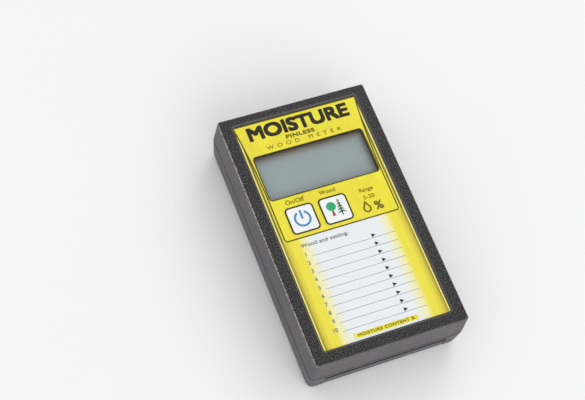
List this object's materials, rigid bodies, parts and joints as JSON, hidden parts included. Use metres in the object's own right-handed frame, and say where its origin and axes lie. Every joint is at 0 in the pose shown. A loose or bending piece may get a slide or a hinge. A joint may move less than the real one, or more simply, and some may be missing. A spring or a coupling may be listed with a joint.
{
  "type": "moisture meter",
  "caption": "Hand-held pinless moisture meter with a display, two keys, a written reference list and a battery door on its back.",
  "frame": {"origin": "centre of the footprint on the back face, which rests on a surface", "axes": "+Z out of the face with the display, +Y along the length to the display end, +X across the width"},
  "size_m": [0.0712, 0.1212, 0.027],
  "materials": {
    "case_plastic": "coarse texture on the face, satin sides",
    "cover_plastic": "satin",
    "overlay_film": "printed film, semi-gloss",
    "label_film": "silver film",
    "window": "clear",
    "key_cap": "semi-gloss",
    "lcd_film": "satin",
    "lcd_glass": "clear",
    "reflector": "satin",
    "white_plastic": "moulded",
    "conductive_rubber": "matt",
    "board": "solder resist",
    "chip_plastic": "moulded",
    "chip_ceramic": "ceramic",
    "tinned_metal": "tinned",
    "spring_steel": "polished",
    "screw_steel": "zinc plated",
    "copper": "tarnished copper",
    "capacitor_sleeve": "sleeved can",
    "battery_jacket": "printed jacket",
    "vinyl_black": "satin",
    "vinyl_red": "satin",
    "foam": "open-cell foam"
  },
  "bodies": {
    "case": {"front_shell": "case_plastic", "back_shell": "case_plastic", "sensor_cover": "cover_plastic", "rear_label": "label_film", "case_screws": "screw_steel", "board_screws": "screw_steel", "graphic_overlay": "overlay_film", "display_window": "window", "power_switch_base": "chip_plastic", "species_switch_base": "chip_plastic", "power_switch_cover": "tinned_metal", "species_switch_cover": "tinned_metal", "power_switch_dome": "spring_steel", "species_switch_dome": "spring_steel", "switch_terminals": "tinned_metal", "lcd_polarizer": "lcd_film", "lcd_front_glass": "lcd_glass", "lcd_rear_glass": "lcd_glass", "lcd_reflector": "reflector", "lcd_carrier": "white_plastic", "zebra_strips": "conductive_rubber", "main_board": "board", "sensor_board": "board", "microcontroller": "chip_plastic", "microcontroller_leads": "tinned_metal", "crystal": "tinned_metal", "filter_capacitor": "capacitor_sleeve", "voltage_regulator": "chip_plastic", "chip_parts": "chip_ceramic", "sensor_electrodes": "copper", "sensor_shield": "tinned_metal", "link_header": "chip_plastic", "link_pins": "tinned_metal", "battery_can": "battery_jacket", "battery_positive_stud": "tinned_metal", "battery_negative_stud": "tinned_metal", "snap_connector": "vinyl_black", "snap_contacts": "tinned_metal", "red_lead": "vinyl_red", "black_lead": "vinyl_black"},
    "power_key": {"power_key": "key_cap", "power_switch_plunger": "chip_plastic"},
    "species_key": {"species_key": "key_cap", "species_switch_plunger": "chip_plastic"},
    "battery_door": {"battery_door": "case_plastic", "door_foam": "foam"}
  },
  "joints": [
    {"name": "power_press", "type": "slide", "parent": "case", "child": "power_key", "axis": [0, 0, -1], "range_m": [0, 0.0004], "stiffness_N_per_m": 1500, "deforming": ["power_switch_dome"]},
    {"name": "species_press", "type": "slide", "parent": "case", "child": "species_key", "axis": [0, 0, -1], "range_m": [0, 0.0004], "stiffness_N_per_m": 1500, "deforming": ["species_switch_dome"]},
    {"name": "battery_door_slide", "type": "slide", "parent": "case", "child": "battery_door", "axis": [0, -1, 0], "range_m": [0, 0.033]}
  ]
}
